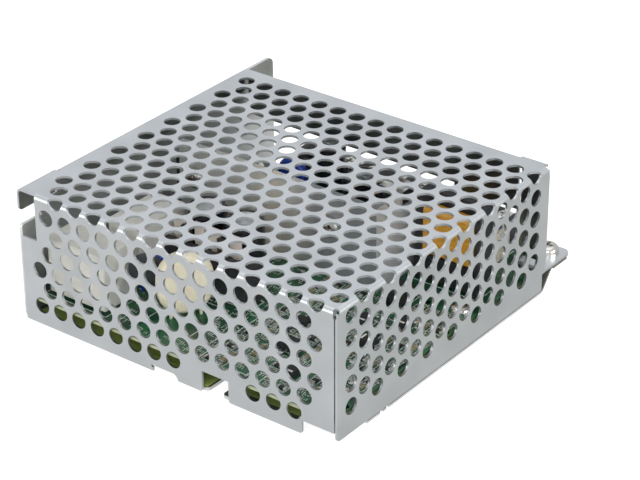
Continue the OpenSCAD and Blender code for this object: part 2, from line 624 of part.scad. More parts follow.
module optocoupler() {
    color([0.1, 0.1, 0.1]) translate([26, -2, bz]) {
        translate([0, 1.4, 0.4]) cube([4.6, 6.4, 3.4]);
        for (x = [0.7, 3.24], y = [0.9, 7.8]) translate([x, y, 0]) cube([0.6, 0.51, 2]);
    }
}
module trimmer_body() {
    color([0.85, 0.82, 0.74]) translate([trim_x, trim_y, bz]) difference() {
        translate([-3.2, -3.2, 0]) cube([6.4, 6.4, 9.2]);
        translate([0, 0, 6.4]) cylinder(r = 2.55, h = 5);
    }
}
module trimmer_rotor() {
    color([0.1, 0.25, 0.6]) translate([trim_x, trim_y, bz + 6.45]) difference() {
        union() {
            cylinder(r = 2.47, h = 2.6);
            cylinder(r = 2.0, h = 3.3);
        }
        translate([-1.7, -0.35, 2.3]) cube([3.4, 0.7, 2]);
        translate([-0.35, -1.2, 2.3]) cube([0.7, 2.9, 2]);
    }
}
module indicator_led() {
    color([0.35, 0.75, 0.3]) translate([29.2, 34.2, bz]) rotate_extrude() polygon(concat([[0, 0], [1.75, 0], [1.75, 1],
        [1.5, 1]], [for (a = [0 : 15 : 90]) [1.5 * cos(a), 3.4 + 1.5 * sin(a)]]));
}

perforated_cover();
chassis();
insulation_sheet();
circuit_board();
board_standoffs();
board_screws();
cover_screw();
terminal_block();
terminal_plates();
terminal_screws();
transformer_core();
transformer_winding();
transformer_bobbin();
transformer_pins();
bulk_capacitors();
output_capacitors();
line_filter_capacitors();
cream_film_capacitor();
blue_disc_capacitors();
choke_core();
choke_windings();
choke_base();
heat_sink();
heat_sink_screw();
power_transistor();
output_rectifier();
rectifier_clip();
bridge_rectifier();
fuse_tube();
fuse_caps();
inrush_thermistor();
output_inductor_core();
output_inductor_winding();
control_chip();
chip_pins();
chip_resistors();
chip_capacitors();
optocoupler();
trimmer_body();
trimmer_rotor();
indicator_led();
finger_strip();
chip_diodes();
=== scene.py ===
import json
import math
import random

import bmesh
import bpy
from mathutils import Matrix, Vector


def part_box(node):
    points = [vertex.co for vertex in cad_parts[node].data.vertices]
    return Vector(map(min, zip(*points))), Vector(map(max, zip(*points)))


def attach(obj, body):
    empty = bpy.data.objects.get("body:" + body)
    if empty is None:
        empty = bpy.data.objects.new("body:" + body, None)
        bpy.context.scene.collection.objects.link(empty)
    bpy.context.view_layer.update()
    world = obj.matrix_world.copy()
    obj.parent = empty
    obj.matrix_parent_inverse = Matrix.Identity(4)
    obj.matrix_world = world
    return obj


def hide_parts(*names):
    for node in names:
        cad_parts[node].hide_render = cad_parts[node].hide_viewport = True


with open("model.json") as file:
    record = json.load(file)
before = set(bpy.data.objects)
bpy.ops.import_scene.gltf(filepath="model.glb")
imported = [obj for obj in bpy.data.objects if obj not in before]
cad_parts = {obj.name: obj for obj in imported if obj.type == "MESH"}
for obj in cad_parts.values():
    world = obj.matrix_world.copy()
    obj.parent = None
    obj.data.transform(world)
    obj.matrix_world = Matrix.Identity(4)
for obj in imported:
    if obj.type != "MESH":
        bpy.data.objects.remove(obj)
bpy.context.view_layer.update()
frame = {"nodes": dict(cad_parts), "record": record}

nodes = frame["nodes"]
MM = 0.001
scene = bpy.context.scene


# ------------------------------------------------------------------ materials
def new_mat(name):
    m = bpy.data.materials.new(name)
    m.use_nodes = True
    nt = m.node_tree
    return m, nt, nt.nodes["Principled BSDF"]


def coords(nt, scale):
    """Coordinates of the shared frame, stretched by scale (1/metre)."""
    tc = nt.nodes.new("ShaderNodeTexCoord")
    mp = nt.nodes.new("ShaderNodeMapping")
    mp.inputs["Scale"].default_value = scale if hasattr(scale, "__len__") else (scale,) * 3
    nt.links.new(tc.outputs["Object"], mp.inputs["Vector"])
    return mp.outputs["Vector"]


def noise(nt, scale, detail=3.0, rough=0.5):
    n = nt.nodes.new("ShaderNodeTexNoise")
    n.inputs["Scale"].default_value = 1.0
    n.inputs["Detail"].default_value = detail
    n.inputs["Roughness"].default_value = rough
    nt.links.new(coords(nt, scale), n.inputs["Vector"])
    return n.outputs["Fac"]


def ramp(nt, fac, stops):
    r = nt.nodes.new("ShaderNodeValToRGB")
    el = r.color_ramp.elements
    while len(el) < len(stops):
        el.new(0.5)
    for e, (p, c) in zip(el, stops):
        e.position = p
        e.color = (*c, 1.0)
    nt.links.new(fac, r.inputs["Fac"])
    return r.outputs["Color"]


def span(nt, fac, lo, hi, a=0.3, b=0.7):
    r = nt.nodes.new("ShaderNodeMapRange")
    r.inputs["From Min"].default_value = a
    r.inputs["From Max"].default_value = b
    r.inputs["To Min"].default_value = lo
    r.inputs["To Max"].default_value = hi
    nt.links.new(fac, r.inputs["Value"])
    return r.outputs["Result"]


def bump(nt, bsdf, fac, strength, distance):
    b = nt.nodes.new("ShaderNodeBump")
    b.inputs["Strength"].default_value = strength
    b.inputs["Distance"].default_value = distance
    nt.links.new(fac, b.inputs["Height"])
    nt.links.new(b.outputs["Normal"], bsdf.inputs["Normal"])


def finish_mat(name, dark, light, rough, metal=0.0, scale=400.0, grain=2500.0, bumps=0.05, depth=0.00003,
               coat=0.0, detail=3.0, stops=(0.3, 0.7), spec=None):
    """A surface whose colour drifts from dark to light, whose roughness varies, and which has a fine grain."""
    m, nt, b = new_mat(name)
    f = noise(nt, scale, detail)
    nt.links.new(ramp(nt, f, [(stops[0], dark), (stops[1], light)]), b.inputs["Base Color"])
    nt.links.new(span(nt, noise(nt, scale, 4.0), rough[0], rough[1]), b.inputs["Roughness"])
    b.inputs["Metallic"].default_value = metal
    if coat:
        b.inputs["Coat Weight"].default_value = coat
        b.inputs["Coat Roughness"].default_value = 0.12
    if spec is not None:
        b.inputs["Specular IOR Level"].default_value = spec
    if bumps:
        bump(nt, b, noise(nt, grain, 2.0), bumps, depth)
    return m


M = {}
# zinc-plated sheet: a cool grey with a very fine crystalline mottling
def sheet_mat(name, own_colours, shade_colours, rough, metal, where):
    """Zinc-plated sheet. where(normal, place, times, most, step) gives the faces that get a painted shade, a second
    darker colour laid where the sheet lies in shade.
    """
    m, nt, b = new_mat(name)
    tc = nt.nodes.new("ShaderNodeTexCoord")
    nv = nt.nodes.new("ShaderNodeSeparateXYZ")
    pv = nt.nodes.new("ShaderNodeSeparateXYZ")
    nt.links.new(tc.outputs["Normal"], nv.inputs["Vector"])
    nt.links.new(tc.outputs["Object"], pv.inputs["Vector"])

    def join(op, parts):
        out = parts[0]
        for q in parts[1:]:
            n = nt.nodes.new("ShaderNodeMath")
            n.operation = op
            nt.links.new(out, n.inputs[0])
            nt.links.new(q, n.inputs[1])
            out = n.outputs["Value"]
        return out
    fac = where(nv.outputs, pv.outputs, lambda *q: join("MULTIPLY", q), lambda *q: join("MAXIMUM", q),
                lambda v, at, to, lo=0.0, hi=1.0: span(nt, v, lo, hi, at, to))
    # painted shade: the mask mixes the sheet's own colour with a darker painted shade colour
    mix = nt.nodes.new("ShaderNodeMix")
    mix.data_type = "RGBA"
    nt.links.new(fac, mix.inputs[0])
    nt.links.new(ramp(nt, noise(nt, 90.0), [(0.3, own_colours[0]), (0.7, own_colours[1])]), mix.inputs[6])
    nt.links.new(ramp(nt, noise(nt, 240.0), [(0.3, shade_colours[0]), (0.7, shade_colours[1])]), mix.inputs[7])
    nt.links.new(mix.outputs[2], b.inputs["Base Color"])
    nt.links.new(span(nt, noise(nt, 90.0, 4.0), rough[0], rough[1]), b.inputs["Roughness"])
    b.inputs["Metallic"].default_value = metal
    bump(nt, b, noise(nt, 5200.0, 2.0), 0.04, 0.00002)
    return m


def cover_painted_shade(n, p, times, most, step):
    # painted shade on the inside of the flanges at the terminal end, of the lips, and of the ear
    flange = times(step(n["Y"], -0.7, -0.9), step(p["Y"], 0.035, 0.036))
    lips = times(step(n["X"], 0.7, 0.9), step(p["X"], -0.0445, -0.0455))
    ear = times(step(n["Z"], 0.7, 0.9), step(p["Z"], 0.02, 0.019), step(p["Y"], 0.0375, 0.037))
    return most(flange, lips, ear)


def chassis_painted_shade(n, p, times, most, step):
    # painted shade on the floor inside, the upper part of the wall inside (deepening towards the top), the sheared
    # right edge with the side of the ear, and the slope under the ear
    floor_in = times(step(n["Z"], 0.6, 0.9), step(p["Z"], 0.0025, 0.002), step(p["X"], 0.0486, 0.0484))
    wall = times(step(n["X"], 0.6, 0.9), step(p["X"], -0.044, -0.045), step(p["Z"], 0.017, 0.031, 0.0, 0.85))
    ear = times(step(n["X"], 0.6, 0.9), step(p["X"], 0.036, 0.038), step(p["Z"], 0.0005, 0.0006))
    slope = times(step(p["Y"], 0.0355, 0.036), step(p["X"], 0.0392, 0.0396), step(p["Z"], 0.001, 0.0014), step(n["Z"], 0.95, 0.85))
    return most(floor_in, wall, ear, slope)


# zinc-plated sheet: a cool grey with a very fine crystalline mottling
# the second pair of colours of each sheet is the painted shade laid on the faces its mask picks
M["galvanised_sheet"] = sheet_mat("galvanised_sheet", ((0.693, 0.714, 0.735), (0.742, 0.763, 0.784)),
                                  ((0.30, 0.31, 0.30), (0.36, 0.37, 0.36)), (0.36, 0.46), 1.0, cover_painted_shade)
# the chassis is a duller sheet, so that its inner faces stay grey in the shade of the cover
M["chassis_sheet"] = sheet_mat("chassis_sheet", ((0.60, 0.61, 0.61), (0.68, 0.69, 0.69)),
                               ((0.15, 0.16, 0.14), (0.24, 0.25, 0.22)), (0.45, 0.55), 0.7, chassis_painted_shade)
M["insulation_film"] = finish_mat("insulation_film", (0.25, 0.31, 0.075), (0.38, 0.45, 0.13), (0.12, 0.25), 0.0,
                                  scale=60, grain=300, bumps=0.25, depth=0.0002)
M["plated_steel"] = finish_mat("plated_steel", (0.66, 0.64, 0.60), (0.80, 0.78, 0.74), (0.14, 0.28), 1.0,
                               scale=500, grain=2600, bumps=0.04)
M["terminal_plastic"] = finish_mat("terminal_plastic", (0.010, 0.010, 0.011), (0.018, 0.018, 0.019), (0.38, 0.52), 0.0,
                                   scale=300, grain=4500, bumps=0.08)
M["tinned_brass"] = finish_mat("tinned_brass", (0.62, 0.58, 0.48), (0.78, 0.74, 0.63), (0.2, 0.36), 1.0,
                               scale=500, grain=2500, bumps=0.06)
M["ferrite"] = finish_mat("ferrite", (0.018, 0.018, 0.019), (0.04, 0.04, 0.042), (0.45, 0.65), 0.0,
                          scale=900, grain=5000, bumps=0.2)
M["yellow_tape"] = finish_mat("yellow_tape", (0.52, 0.24, 0.022), (0.64, 0.33, 0.045), (0.2, 0.32), 0.0,
                              scale=(150, 150, 700), grain=(200, 200, 1800), bumps=0.25, depth=0.00008, coat=0.3)
M["black_moulding"] = finish_mat("black_moulding", (0.011, 0.011, 0.012), (0.02, 0.02, 0.021), (0.45, 0.6), 0.0,
                                 scale=700, grain=6000, bumps=0.15)
M["tinned_wire"] = finish_mat("tinned_wire", (0.66, 0.66, 0.65), (0.80, 0.80, 0.78), (0.2, 0.36), 1.0,
                              scale=900, grain=3500, bumps=0.08)
M["capacitor_sleeve"] = finish_mat("capacitor_sleeve", (0.008, 0.008, 0.011), (0.016, 0.016, 0.02), (0.16, 0.28), 0.0,
                                   scale=200, grain=900, bumps=0.08, coat=0.25)
M["grey_box"] = finish_mat("grey_box", (0.64, 0.63, 0.58), (0.72, 0.71, 0.655), (0.6, 0.75), 0.0,
                           scale=200, grain=3500, bumps=0.06, spec=0.15)
M["cream_box"] = finish_mat("cream_box", (0.82, 0.74, 0.55), (0.90, 0.84, 0.66), (0.28, 0.42), 0.0,
                            scale=200, grain=1500, bumps=0.12)
M["blue_epoxy"] = finish_mat("blue_epoxy", (0.010, 0.035, 0.26), (0.02, 0.06, 0.38), (0.18, 0.3), 0.0,
                             scale=250, grain=700, bumps=0.25, depth=0.0001, coat=0.3)
M["enamelled_copper"] = finish_mat("enamelled_copper", (0.22, 0.075, 0.03), (0.42, 0.16, 0.065), (0.18, 0.3), 1.0,
                                   scale=300, grain=1600, bumps=0.06, coat=0.4)
M["dark_copper"] = finish_mat("dark_copper", (0.05, 0.028, 0.018), (0.09, 0.05, 0.03), (0.22, 0.34), 0.6,
                              scale=300, grain=1600, bumps=0.06, coat=0.3)


def aluminium_mat():
    """Brushed plate with a drawn grain; along its length a painted warm highlight and painted shade, and its +X faces
    painted lighter.
    """
    m, nt, b = new_mat("bare_aluminium")
    tc = nt.nodes.new("ShaderNodeTexCoord")
    nv = nt.nodes.new("ShaderNodeSeparateXYZ")
    pv = nt.nodes.new("ShaderNodeSeparateXYZ")
    nt.links.new(tc.outputs["Normal"], nv.inputs["Vector"])
    nt.links.new(tc.outputs["Object"], pv.inputs["Vector"])
    # painted light along the plate: a warm painted highlight about X = -10 mm, painted shade darker towards its right
    # end
    length = ramp(nt, span(nt, pv.outputs["X"], 0.0, 1.0, -0.040, 0.020),
                  [(0.0, (0.56, 0.57, 0.55)), (0.36, (0.66, 0.65, 0.59)), (0.50, (0.92, 0.84, 0.70)), (0.60, (0.70, 0.67, 0.61)),
                   (0.72, (0.36, 0.365, 0.375)), (1.0, (0.28, 0.29, 0.305))])
    grain = ramp(nt, noise(nt, (900, 900, 25)), [(0.3, (0.90, 0.90, 0.90)), (0.7, (1.0, 1.0, 1.0))])
    tone = nt.nodes.new("ShaderNodeMix")
    tone.data_type = "RGBA"
    tone.blend_type = "MULTIPLY"
    tone.inputs[0].default_value = 1.0
    nt.links.new(length, tone.inputs[6])
    nt.links.new(grain, tone.inputs[7])
    # painted light: faces turned towards +X get a lighter grey
    lit_side = nt.nodes.new("ShaderNodeMix")
    lit_side.data_type = "RGBA"
    nt.links.new(span(nt, nv.outputs["X"], 0.0, 1.0, 0.6, 0.9), lit_side.inputs[0])
    nt.links.new(tone.outputs[2], lit_side.inputs[6])
    lit_side.inputs[7].default_value = (0.60, 0.61, 0.62, 1.0)
    nt.links.new(lit_side.outputs[2], b.inputs["Base Color"])
    nt.links.new(span(nt, noise(nt, (900, 900, 25), 4.0), 0.42, 0.55), b.inputs["Roughness"])
    b.inputs["Metallic"].default_value = 0.45
    bump(nt, b, noise(nt, (2600, 2600, 60), 2.0), 0.06, 0.00003)
    return m


M["bare_aluminium"] = aluminium_mat()
M["dark_epoxy"] = finish_mat("dark_epoxy", (0.028, 0.032, 0.036), (0.045, 0.05, 0.056), (0.25, 0.36), 0.0,
                             scale=250, grain=900, bumps=0.25, depth=0.0001)
M["beige_strip"] = finish_mat("beige_strip", (0.68, 0.61, 0.54), (0.76, 0.69, 0.62), (0.4, 0.55), 0.0,
                              scale=400, grain=2600, bumps=0.1)
M["powder_core"] = finish_mat("powder_core", (0.48, 0.35, 0.03), (0.58, 0.44, 0.06), (0.4, 0.55), 0.0,
                              scale=500, grain=3000, bumps=0.15)
M["chip_ceramic_dark"] = finish_mat("chip_ceramic_dark", (0.014, 0.014, 0.015), (0.03, 0.03, 0.032), (0.3, 0.45), 0.0,
                                    scale=1500, grain=6000, bumps=0.1)
M["chip_ceramic_tan"] = finish_mat("chip_ceramic_tan", (0.16, 0.14, 0.075), (0.25, 0.22, 0.125), (0.35, 0.5), 0.0,
                                   scale=1500, grain=6000, bumps=0.1)
M["blue_moulding"] = finish_mat("blue_moulding", (0.012, 0.05, 0.26), (0.02, 0.07, 0.34), (0.35, 0.5), 0.0,
                                scale=500, grain=5000, bumps=0.08)
M["ivory_moulding"] = finish_mat("ivory_moulding", (0.66, 0.61, 0.49), (0.74, 0.69, 0.57), (0.35, 0.5), 0.0,
                                 scale=600, grain=5000, bumps=0.08)
M["white_ink"] = finish_mat("white_ink", (0.60, 0.62, 0.58), (0.74, 0.75, 0.71), (0.5, 0.65), 0.0,
                            scale=900, grain=5000, bumps=0.05)
M["trace_mask"] = finish_mat("trace_mask", (0.014, 0.075, 0.04), (0.021, 0.095, 0.052), (0.25, 0.38), 0.0,
                             scale=500, grain=3500, bumps=0.05, coat=0.2)
M["solder"] = finish_mat("solder", (0.60, 0.60, 0.58), (0.74, 0.74, 0.72), (0.22, 0.38), 1.0,
                         scale=900, grain=2500, bumps=0.2)
M["can_top"] = finish_mat("can_top", (0.62, 0.62, 0.62), (0.75, 0.75, 0.75), (0.2, 0.34), 1.0,
                          scale=(300, 40, 300), grain=(2500, 200, 2500), bumps=0.06)
M["sleeve_stripe"] = finish_mat("sleeve_stripe", (0.30, 0.31, 0.33), (0.36, 0.37, 0.39), (0.2, 0.3), 0.0,
                                scale=300, grain=900, bumps=0.06)


def board_mat():
    """Green solder mask whose tone steps where copper areas lie under it, with a pale cut edge whose lighter streaks
    are a painted highlight and whose upper part is painted shade.
    """
    m, nt, b = new_mat("board_laminate")
    v = nt.nodes.new("ShaderNodeTexVoronoi")
    v.distance = "CHEBYCHEV"
    v.inputs["Scale"].default_value = 1.0
    nt.links.new(coords(nt, 160.0), v.inputs["Vector"])
    sep = nt.nodes.new("ShaderNodeSeparateColor")
    nt.links.new(v.outputs["Color"], sep.inputs["Color"])
    face = ramp(nt, sep.outputs["Red"], [(0.0, (0.008, 0.048, 0.023)), (0.45, (0.011, 0.065, 0.031)),
                                         (0.55, (0.021, 0.107, 0.047)), (1.0, (0.029, 0.133, 0.057))])
    # the pale colour of the cut, streaked with painted highlights
    pale = ramp(nt, noise(nt, (300.0, 300.0, 4000.0)), [(0.3, (0.20, 0.215, 0.13)), (0.7, (0.34, 0.35, 0.25))])
    # painted shade: the cut is darker towards the upper face
    tc = nt.nodes.new("ShaderNodeTexCoord")
    pv = nt.nodes.new("ShaderNodeSeparateXYZ")
    nt.links.new(tc.outputs["Object"], pv.inputs["Vector"])
    z0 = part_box("circuit_board")[0][2]
    cut = nt.nodes.new("ShaderNodeMix")
    cut.data_type = "RGBA"
    nt.links.new(span(nt, pv.outputs["Z"], 0.0, 1.0, z0 + 0.0007, z0 + 0.001), cut.inputs[0])
    nt.links.new(pale, cut.inputs[6])
    cut.inputs[7].default_value = (0.03, 0.06, 0.02, 1.0)
    edge = cut.outputs[2]
    up = nt.nodes.new("ShaderNodeSeparateXYZ")
    nt.links.new(tc.outputs["Normal"], up.inputs["Vector"])
    side = nt.nodes.new("ShaderNodeMath")
    side.operation = "ABSOLUTE"
    nt.links.new(up.outputs["Z"], side.inputs[0])
    mix = nt.nodes.new("ShaderNodeMix")
    mix.data_type = "RGBA"
    nt.links.new(span(nt, side.outputs["Value"], 0.0, 1.0, 0.4, 0.6), mix.inputs[0])
    nt.links.new(edge, mix.inputs[6])
    nt.links.new(face, mix.inputs[7])
    nt.links.new(mix.outputs[2], b.inputs["Base Color"])
    nt.links.new(span(nt, noise(nt, 300.0), 0.26, 0.4), b.inputs["Roughness"])
    b.inputs["Coat Weight"].default_value = 0.25
    b.inputs["Coat Roughness"].default_value = 0.15
    bump(nt, b, noise(nt, 2600.0), 0.06, 0.00003)
    return m


def glass_mat(name, tint, rough=0.03, grain=900.0):
    m, nt, b = new_mat(name)
    b.inputs["Transmission Weight"].default_value = 1.0
    b.inputs["IOR"].default_value = 1.5
    nt.links.new(ramp(nt, noise(nt, 300.0), [(0.3, tint), (0.7, tuple(min(1, c * 1.06) for c in tint))]),
                 b.inputs["Base Color"])
    nt.links.new(span(nt, noise(nt, 500.0), rough, rough + 0.06), b.inputs["Roughness"])
    bump(nt, b, noise(nt, grain), 0.03, 0.00002)
    return m


M["board_laminate"] = board_mat()
M["fuse_glass"] = glass_mat("fuse_glass", (0.90, 0.94, 0.92))
M["led_lens"] = glass_mat("led_lens", (0.25, 0.72, 0.22), 0.08)

slot_of = {s["node"]: s["material_slot"] for s in frame["record"]["subparts"]}
for name, ob in nodes.items():
    ob.data.materials.clear()
    ob.data.materials.append(M["chassis_sheet" if name == "chassis" else slot_of[name]])


# ------------------------------------------------------------------- geometry
def make(name, bm, mats, body="module", smooth=None):
    """Turns a bmesh in millimetres into a piece that rides on a body."""
    bmesh.ops.recalc_face_normals(bm, faces=bm.faces[:])
    me = bpy.data.meshes.new(name)
    bm.to_mesh(me)
    bm.free()
    me.transform(Matrix.Scale(MM, 4))
    for m in mats:
        me.materials.append(M[m])
    ob = bpy.data.objects.new(name, me)
    scene.collection.objects.link(ob)
    if smooth is not None:
        for p in me.polygons:
            p.use_smooth = True
        me.set_sharp_from_angle(angle=math.radians(smooth))
    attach(ob, body)
    return ob


def mmbox(node):
    lo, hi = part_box(node)
    return lo / MM, hi / MM


def islands(node):
    """Boxes, in millimetres, of the separate solids of a CAD node."""
    me = nodes[node].data
    key, root = {}, list(range(len(me.vertices)))

    def find(a):
        while root[a] != a:
            root[a] = root[root[a]]
            a = root[a]
        return a
    for v in me.vertices:
        k = tuple(round(c * 1e6) for c in v.co)
        if k in key:
            root[v.index] = key[k]
        else:
            key[k] = v.index
    for e in me.edges:
        a, b = find(e.vertices[0]), find(e.vertices[1])
        root[a] = b
    out = {}
    for v in me.vertices:
        r = find(v.index)
        p = v.co / MM
        if r not in out:
            out[r] = [p.copy(), p.copy()]
        else:
            lo, hi = out[r]
            for i in range(3):
                lo[i] = min(lo[i], p[i])
                hi[i] = max(hi[i], p[i])
    return sorted(out.values(), key=lambda b: tuple(round(c, 3) for c in b[0]))


def add_box(bm, lo, hi, mi=0, bevel=0.0):
    r = bmesh.ops.create_cube(bm, size=1.0)
    vs = r["verts"]
    c = [(a + b) / 2 for a, b in zip(lo, hi)]
    s = [b - a for a, b in zip(lo, hi)]
    for v in vs:
        v.co = Vector((v.co.x * s[0] + c[0], v.co.y * s[1] + c[1], v.co.z * s[2] + c[2]))
    es = {e for v in vs for e in v.link_edges}
    fs = {f for v in vs for f in v.link_faces}
    for f in fs:
        f.material_index = mi
    if bevel:
        out = bmesh.ops.bevel(bm, geom=list(es), offset=bevel, segments=2, profile=0.6, affect="EDGES")
        for f in out["faces"]:
            f.material_index = mi


def add_lathe(bm, centre, profile, segs=48, axis="z", mats=None):
    """profile: (radius, height) pairs from the bottom up; mats gives each band's material index."""
    rings = []
    for r, h in profile:
        if r < 1e-6:
            rings.append([bm.verts.new(place(centre, 0, 0, h, axis))])
        else:
            rings.append([bm.verts.new(place(centre, r * math.cos(2 * math.pi * k / segs),
                                             r * math.sin(2 * math.pi * k / segs), h, axis)) for k in range(segs)])
    for i in range(len(rings) - 1):
        a, b = rings[i], rings[i + 1]
        mi = mats[i] if mats else 0
        for k in range(segs):
            k2 = (k + 1) % segs
            if len(a) == 1 and len(b) == 1:
                continue
            if len(a) == 1:
                f = bm.faces.new((a[0], b[k2], b[k]))
            elif len(b) == 1:
                f = bm.faces.new((a[k], a[k2], b[0]))
            else:
                f = bm.faces.new((a[k], a[k2], b[k2], b[k]))
            f.material_index = mi(k) if callable(mi) else mi


def place(c, x, y, z, axis):
    if axis == "x":
        return Vector((c[0] + z, c[1] + x, c[2] + y))
    if axis == "y":
        return Vector((c[0] + x, c[1] + z, c[2] + y))
    return Vector((c[0] + x, c[1] + y, c[2] + z))


def add_tube(bm, pts, r, segs=8, mi=0, caps=True):
    pts = [Vector(p) for p in pts]
    prev = None
    rings = []
    for i, p in enumerate(pts):
        t = (pts[min(i + 1, len(pts) - 1)] - pts[max(i - 1, 0)]).normalized()
        if prev is None:
            u = t.orthogonal().normalized()
        else:
            u = (prev - prev.dot(t) * t).normalized()
        prev = u
        w = t.cross(u)
        rings.append([bm.verts.new(p + r * (math.cos(2 * math.pi * k / segs) * u + math.sin(2 * math.pi * k / segs) * w))
                      for k in range(segs)])
    for a, b in zip(rings, rings[1:]):
        for k in range(segs):
            f = bm.faces.new((a[k], a[(k + 1) % segs], b[(k + 1) % segs], b[k]))
            f.material_index = mi
    if caps:
        for ring in (rings[0][::-1], rings[-1]):
            f = bm.faces.new(ring)
            f.material_index = mi


# electrolytic capacitors: sleeve drawn over the edge of a bare, scored can
def capacitors(name, node, stripe_at):
    bm = bmesh.new()
    for n, (lo, hi) in enumerate(islands(node)):
        c = ((lo[0] + hi[0]) / 2, (lo[1] + hi[1]) / 2, lo[2])
        r, h = (hi[0] - lo[0]) / 2, hi[2] - lo[2]
        prof = [(0, 0), (r - 0.5, 0), (r - 0.15, 0.15), (r, 0.5), (r, 2.1), (r - 0.25, 2.5), (r - 0.5, 2.9), (r - 0.5, 3.3),
                (r - 0.25, 3.7), (r, 4.1), (r, h - 0.9), (r - 0.12, h - 0.45), (r - 0.45, h - 0.12), (r - 0.9, h),
                (r - 1.3, h - 0.05), (r - 1.45, h - 0.3), (r - 1.7, h - 0.36), (r - 1.9, h - 0.38)]
        seg = 72
        a0 = stripe_at[n % len(stripe_at)]

        def side(k, a0=a0, seg=seg):
            d = (360.0 * (k + 0.5) / seg - a0 + 180) % 360 - 180
            return 2 if abs(d) < 24 else 0
        mats = [1, 1, 0, 0, side, side, side, side, side, side, side, side, 0, 0, 0, 1, 1]
        add_lathe(bm, c, prof, seg, mats=mats)
        # scored top: four fields that fall towards a cross of grooves
        top = h - 0.38
        rr = r - 1.9
        gz = top - 0.16
        for q in range(4):
            m = 8
            arc = [bm.verts.new(Vector((c[0] + rr * math.cos(math.pi / 2 * (q + k / m)),
                                        c[1] + rr * math.sin(math.pi / 2 * (q + k / m)), c[2] + top))) for k in range(m + 1)]
            g = 0.22
            a, b = math.pi / 2 * q, math.pi / 2 * (q + 1)
            mid = (a + b) / 2
            inner = bm.verts.new(Vector((c[0] + g * 1.4 * math.cos(mid), c[1] + g * 1.4 * math.sin(mid), c[2] + top)))
            na = bm.verts.new(Vector((c[0] + rr * 0.62 * math.cos(a) + g * math.cos(mid), c[1] + rr * 0.62 * math.sin(a)
                                      + g * math.sin(mid), c[2] + top)))
            nb = bm.verts.new(Vector((c[0] + rr * 0.62 * math.cos(b) + g * math.cos(mid), c[1] + rr * 0.62 * math.sin(b)
                                      + g * math.sin(mid), c[2] + top)))
            f = bm.faces.new([inner, na] + arc + [nb])
            f.material_index = 1
            fa = bm.verts.new(Vector((c[0] + rr * 0.62 * math.cos(a), c[1] + rr * 0.62 * math.sin(a), c[2] + gz)))
            fb = bm.verts.new(Vector((c[0] + rr * 0.62 * math.cos(b), c[1] + rr * 0.62 * math.sin(b), c[2] + gz)))
            f0 = bm.verts.new(Vector((c[0], c[1], c[2] + gz)))
            for poly in ((inner, f0, fa, na), (inner, nb, fb, f0), (na, fa, arc[0]), (arc[-1], fb, nb)):
                f = bm.faces.new(poly)
                f.material_index = 1
    bmesh.ops.remove_doubles(bm, verts=bm.verts[:], dist=0.002)
    ob = make(name, bm, ["capacitor_sleeve", "can_top", "sleeve_stripe"], smooth=35)
    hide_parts(node)


capacitors("bulk_capacitor_cans", "bulk_capacitors", [70, 110])
capacitors("output_capacitor_cans", "output_capacitors", [200, 120, 160])


# wound toroids
def coil(name, node, c, axis, r_in, r_out, half, spans, turns, wire):
    bm = bmesh.new()
    g = wire + 0.06
    n = 22
    for a0, a1 in spans:
        pts = []
        for i in range(turns * n + 1):
            t = i / n
            ang = math.radians(a0 + (a1 - a0) * t / turns)
            ph = 2 * math.pi * t
            # rounded rectangle around the section of the ring
            rc, rw, hh = (r_in + r_out) / 2, (r_out - r_in) / 2 + g, half + g
            cs, sn = math.cos(ph), math.sin(ph)
            p = 0.36
            rr = rc + rw * math.copysign(abs(cs) ** p, cs)
            z = hh * math.copysign(abs(sn) ** p, sn)
            pts.append(place(c, rr * math.cos(ang), rr * math.sin(ang), z, axis))
        add_tube(bm, pts, wire, 7)
        for end in (pts[0], pts[-1]):
            add_tube(bm, [end, (end[0], end[1], (end[2] + 7.9) / 2), (end[0], end[1], 7.8)], wire * 0.9, 7)
    ob = make(name, bm, ["enamelled_copper"], smooth=60)
    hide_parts(node)


def flat_coils(name, node, wire=0.25, rise=0.52):
    """Upright flat coils: one wire laid turn on turn round a narrow former."""
    bm = bmesh.new()
    for lo, hi in islands(node):
        cx, cy = (lo[0] + hi[0]) / 2, (lo[1] + hi[1]) / 2
        rx, ry = (hi[0] - lo[0]) / 2 - wire, (hi[1] - lo[1]) / 2 - wire
        n, q = 20, 0.45
        pts = []
        for i in range(int((hi[2] - lo[2] - 2 * wire) / rise) * n + 1):
            cs, sn = math.cos(2 * math.pi * i / n), math.sin(2 * math.pi * i / n)
            pts.append((cx + rx * math.copysign(abs(cs) ** q, cs), cy + ry * math.copysign(abs(sn) ** q, sn),
                        lo[2] + wire + rise * i / n))
        add_tube(bm, pts, wire, 7)
        # former inside the turns
        add_box(bm, (cx - rx + wire, cy - ry + wire, lo[2]), (cx + rx - wire, cy + ry - wire, hi[2] - 0.15), 1, 0.08)
    ob = make(name, bm, ["dark_copper", "black_moulding"], smooth=60)
    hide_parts(node)


flat_coils("choke_wire", "choke_windings")
lo, hi = mmbox("output_inductor_core")
coil("output_inductor_wire", "output_inductor_winding",
     ((lo[0] + hi[0]) / 2, (lo[1] + hi[1]) / 2, (lo[2] + hi[2]) / 2), "x", 2.83, 5.37, (hi[0] - lo[0]) / 2,
     [(-30, 210)], 10, 0.42)


# dipped parts: a coated body on two leads, the coating drawn a little way down each lead
def add_local(bm, part, at, turn):
    """Moves a part drawn about its own origin to its place and joins it to bm."""
    part.transform(Matrix.Translation(Vector(at)) @ Matrix.Rotation(math.radians(turn), 4, "Z"))
    me = bpy.data.meshes.new("part")
    part.to_mesh(me)
    part.free()
    bm.from_mesh(me)
    bpy.data.meshes.remove(me)


